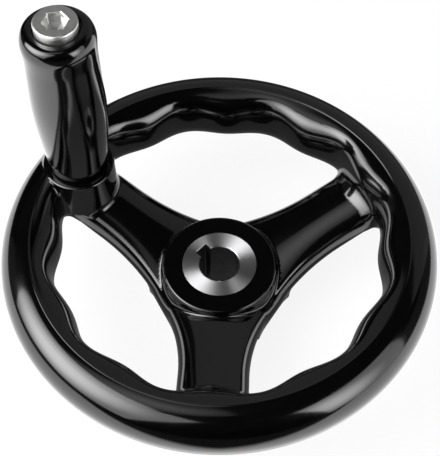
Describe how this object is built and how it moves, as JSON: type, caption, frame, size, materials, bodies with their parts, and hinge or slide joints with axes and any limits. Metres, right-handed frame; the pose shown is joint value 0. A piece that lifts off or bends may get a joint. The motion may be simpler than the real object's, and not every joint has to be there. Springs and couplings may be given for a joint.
{
  "type": "machine handwheel",
  "caption": "Black spoked machine handwheel with finger grips inside its rim, a keyed steel bore and a revolving cranking handle.",
  "frame": {"origin": "on the wheel's axis, at the back face of the hub", "axes": "+Z along the wheel's axis, from the machine towards the user; +X from the axis towards the revolving handle"},
  "size_m": [0.125, 0.125, 0.0948],
  "materials": {
    "wheel": "polished black phenolic moulding",
    "hub_bush": "turned face",
    "handle_insert": "turned",
    "handle_spindle": "bright turned screw",
    "handle_grip": "polished black phenolic moulding"
  },
  "bodies": {
    "handwheel": {"wheel": "wheel", "hub_bush": "hub_bush", "handle_insert": "handle_insert", "handle_spindle": "handle_spindle"},
    "grip": {"handle_grip": "handle_grip"}
  },
  "joints": [
    {"name": "grip_spin", "type": "hinge", "parent": "handwheel", "child": "grip", "pos_m": [0.04818, 0.00143, 0.0649], "axis": [0, 0, 1], "continuous": true}
  ]
}
